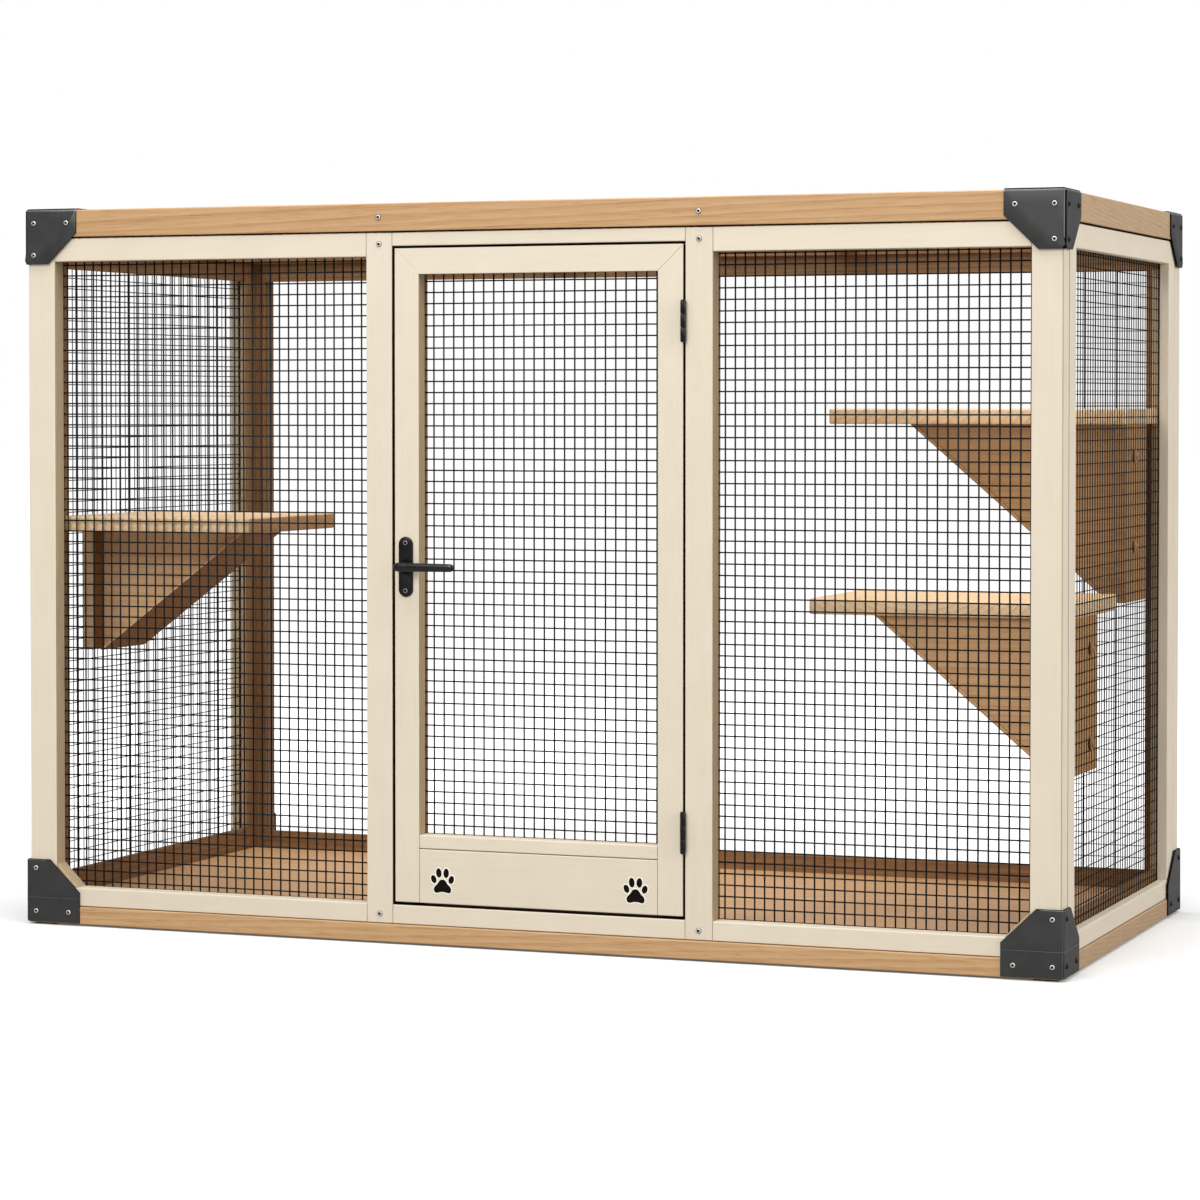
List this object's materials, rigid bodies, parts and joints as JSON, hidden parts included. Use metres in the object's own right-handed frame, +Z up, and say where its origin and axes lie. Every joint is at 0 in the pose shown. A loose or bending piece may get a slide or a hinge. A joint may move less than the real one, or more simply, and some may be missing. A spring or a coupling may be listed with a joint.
{
  "type": "outdoor cat enclosure",
  "caption": "Free-standing timber cat enclosure with wire mesh walls, steel corner brackets, inner shelves on wedge brackets and a hinged mesh door with a turn latch.",
  "frame": {"origin": "on the floor under the middle of the enclosure", "axes": "+X to the right along the front, +Y from the front to the back, +Z up"},
  "size_m": [1.804, 0.8713, 1.2125],
  "materials": {
    "cream_painted_timber": "satin paint",
    "natural_timber": "clear oiled",
    "shelf_timber": "clear oiled",
    "black_mesh_wire": "coated",
    "grey_bracket_steel": "matte",
    "screw_steel": "zinc plated",
    "black_hardware": "satin",
    "brown_hardware": "matte",
    "dark_inlay": "stained",
    "foot_plastic": "moulded"
  },
  "bodies": {
    "enclosure": {"front_left_stile": "cream_painted_timber", "front_right_stile": "cream_painted_timber", "latch_jamb": "cream_painted_timber", "hinge_jamb": "cream_painted_timber", "front_rails": "cream_painted_timber", "door_header": "cream_painted_timber", "door_sill": "cream_painted_timber", "back_frame": "cream_painted_timber", "left_side_frame": "cream_painted_timber", "right_side_frame": "cream_painted_timber", "corner_blocks": "cream_painted_timber", "front_battens": "natural_timber", "back_battens": "natural_timber", "side_battens": "natural_timber", "front_top_beam": "natural_timber", "back_top_beam": "natural_timber", "side_top_beams": "natural_timber", "rafters": "natural_timber", "roof_ledgers": "natural_timber", "front_base_beam": "natural_timber", "back_base_beam": "natural_timber", "side_base_beams": "natural_timber", "floor_joists": "natural_timber", "floor_board": "natural_timber", "door_stops": "natural_timber", "left_shelf_board": "shelf_timber", "left_shelf_bracket": "shelf_timber", "right_upper_shelf_board": "shelf_timber", "right_upper_shelf_bracket": "shelf_timber", "right_lower_shelf_board": "shelf_timber", "right_lower_shelf_bracket": "shelf_timber", "front_left_mesh": "black_mesh_wire", "front_right_mesh": "black_mesh_wire", "back_mesh": "black_mesh_wire", "left_side_mesh": "black_mesh_wire", "right_side_mesh": "black_mesh_wire", "roof_mesh": "black_mesh_wire", "top_corner_brackets": "grey_bracket_steel", "bottom_corner_brackets": "grey_bracket_steel", "frame_screws": "screw_steel", "hinge_frame_leaves": "black_hardware", "hinge_pins": "black_hardware", "latch_keeper": "black_hardware", "shelf_bolts": "brown_hardware", "foot_pads": "foot_plastic"},
    "door": {"door_latch_stile": "cream_painted_timber", "door_hinge_stile": "cream_painted_timber", "door_top_rail": "cream_painted_timber", "door_middle_rail": "cream_painted_timber", "door_kick_panel": "cream_painted_timber", "paw_inlays": "dark_inlay", "door_mesh": "black_mesh_wire", "door_battens": "natural_timber", "hinge_door_leaves": "black_hardware", "handle_plate": "black_hardware", "door_screws": "black_hardware"},
    "lever": {"lever_handle": "black_hardware", "latch_spindle": "black_hardware", "latch_spacer": "black_hardware", "latch_tongue": "black_hardware"}
  },
  "joints": [
    {"name": "door_swing", "type": "hinge", "parent": "enclosure", "child": "door", "pos_m": [0.28325, -0.4252, 0.603], "axis": [0, 0, 1], "range_deg": [0, 165]},
    {"name": "lever_turn", "type": "hinge", "parent": "door", "child": "lever", "pos_m": [-0.197, -0.42, 0.618], "axis": [0, 1, 0], "range_deg": [0, 90]}
  ]
}
